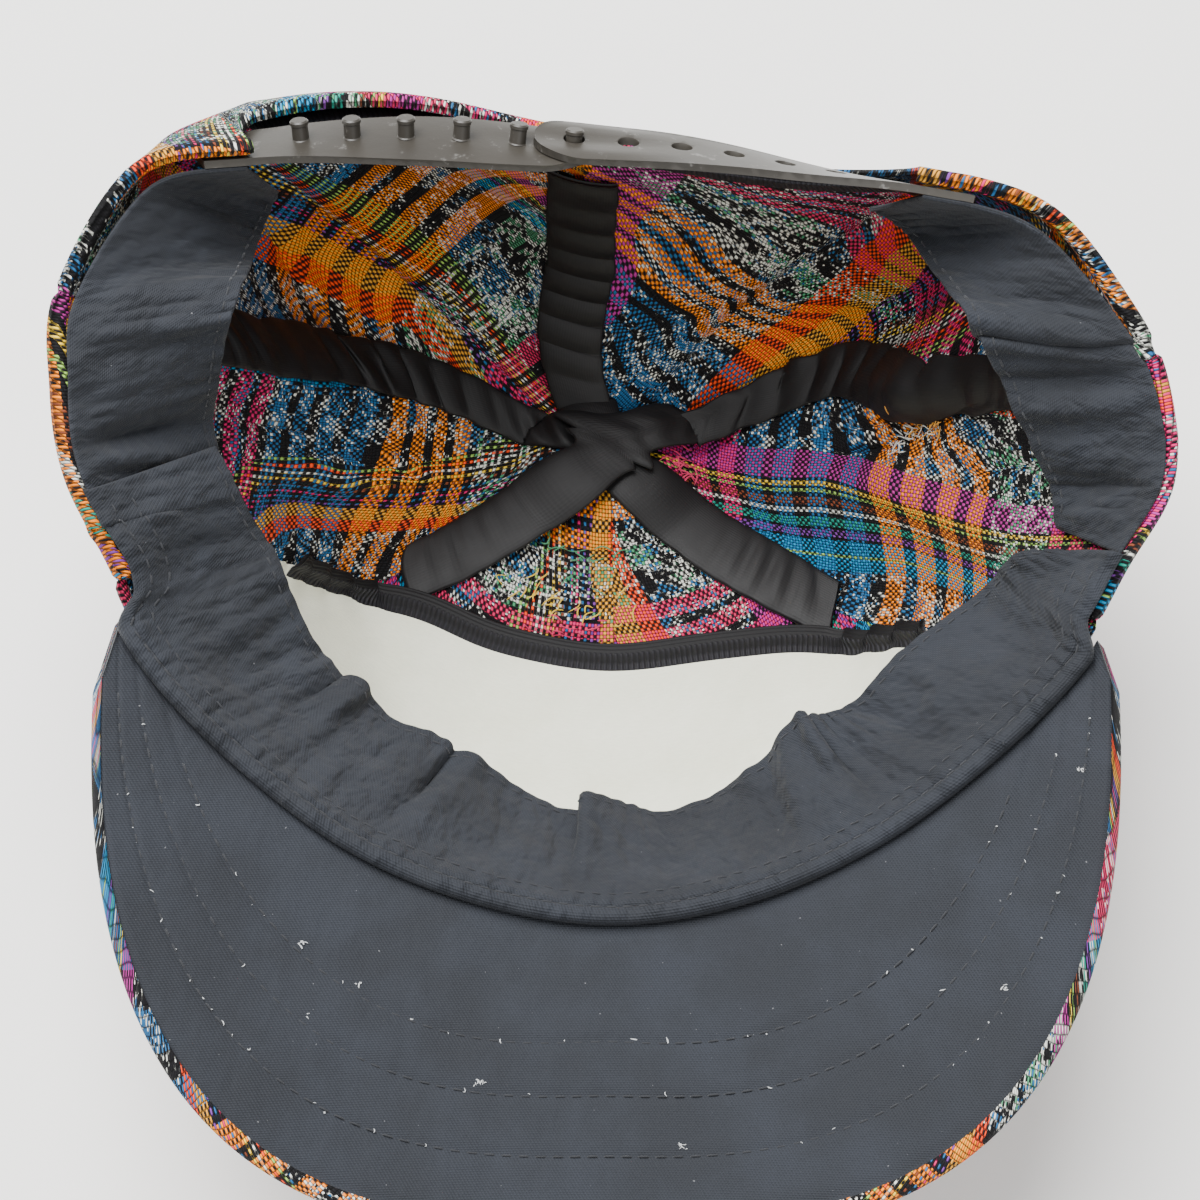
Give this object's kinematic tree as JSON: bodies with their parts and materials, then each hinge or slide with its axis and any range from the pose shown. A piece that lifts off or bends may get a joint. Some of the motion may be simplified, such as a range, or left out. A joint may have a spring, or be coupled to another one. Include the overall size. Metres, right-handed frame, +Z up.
{
  "type": "snapback cap",
  "caption": "Panelled snapback cap with a stiff curved brim, an inner sweatband and a snap strap over a rear arch, lying upside down on its crown.",
  "frame": {"origin": "on the floor, under the middle of the cap's box, where the cap lies upside down on its crown", "axes": "+Z up out of the cap's open side, +Y from the brim towards the snap strap, +X to the wearer's side that carries the holes' half of the strap"},
  "size_m": [0.218, 0.2318, 0.1247],
  "materials": {
    "ikat": "matte open plain weave with warp-dyed stripes in many colours",
    "twill": "matte dark slate cotton twill with a faint sheen on its folds",
    "tape": "black satin tape with fine ribs",
    "felt": "matte ivory non-woven backing",
    "plastic": "satin dark grey moulded plastic"
  },
  "bodies": {
    "root": {"front_panel_left": "ikat", "front_panel_right": "ikat", "side_panel_left": "ikat", "side_panel_right": "ikat", "back_panel_left": "ikat", "back_panel_right": "ikat", "top_button": "ikat", "brim_top": "ikat", "brim_underside": "twill", "sweatband_front": "twill", "sweatband_left": "twill", "sweatband_right": "twill", "front_backing": "felt", "backing_binding": "tape", "arch_binding": "tape", "seam_tape_rear_left": "tape", "seam_tape_front_right": "tape", "seam_tape_back": "tape", "seam_tape_cross": "tape", "strap_pegs": "plastic", "strap_holes": "plastic"}
  },
  "joints": []
}
